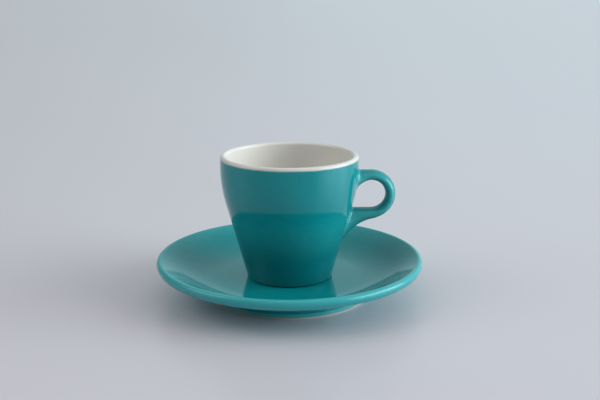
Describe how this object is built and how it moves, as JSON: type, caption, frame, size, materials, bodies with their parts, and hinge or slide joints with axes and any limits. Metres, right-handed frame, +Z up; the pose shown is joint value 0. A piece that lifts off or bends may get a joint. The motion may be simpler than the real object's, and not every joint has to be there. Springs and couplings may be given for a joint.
{
  "type": "espresso cup with saucer",
  "caption": "Tapered espresso cup with a looped handle, turquoise outside and white inside, standing on a round dished saucer.",
  "frame": {"origin": "on the cup's axis, at the table under the saucer's foot ring", "axes": "+Z up along the axis of cup and saucer, +X from the axis towards the cup's handle, +Y to the back"},
  "size_m": [0.123, 0.123, 0.0657],
  "materials": {
    "turquoise_glaze": "gloss",
    "white_glaze": "gloss",
    "bare_porcelain": "matt"
  },
  "bodies": {
    "saucer": {"saucer_body": "bare_porcelain", "saucer_glaze": "turquoise_glaze", "saucer_base_glaze": "turquoise_glaze"},
    "cup": {"cup_body": "bare_porcelain", "cup_lining_glaze": "white_glaze", "cup_coat_glaze": "turquoise_glaze", "cup_base_glaze": "white_glaze", "cup_handle": "bare_porcelain", "handle_glaze": "turquoise_glaze"}
  },
  "joints": [
    {"name": "cup_lift", "type": "slide", "parent": "saucer", "child": "cup", "axis": [0, 0, 1], "range_m": [0, 0.06]}
  ]
}
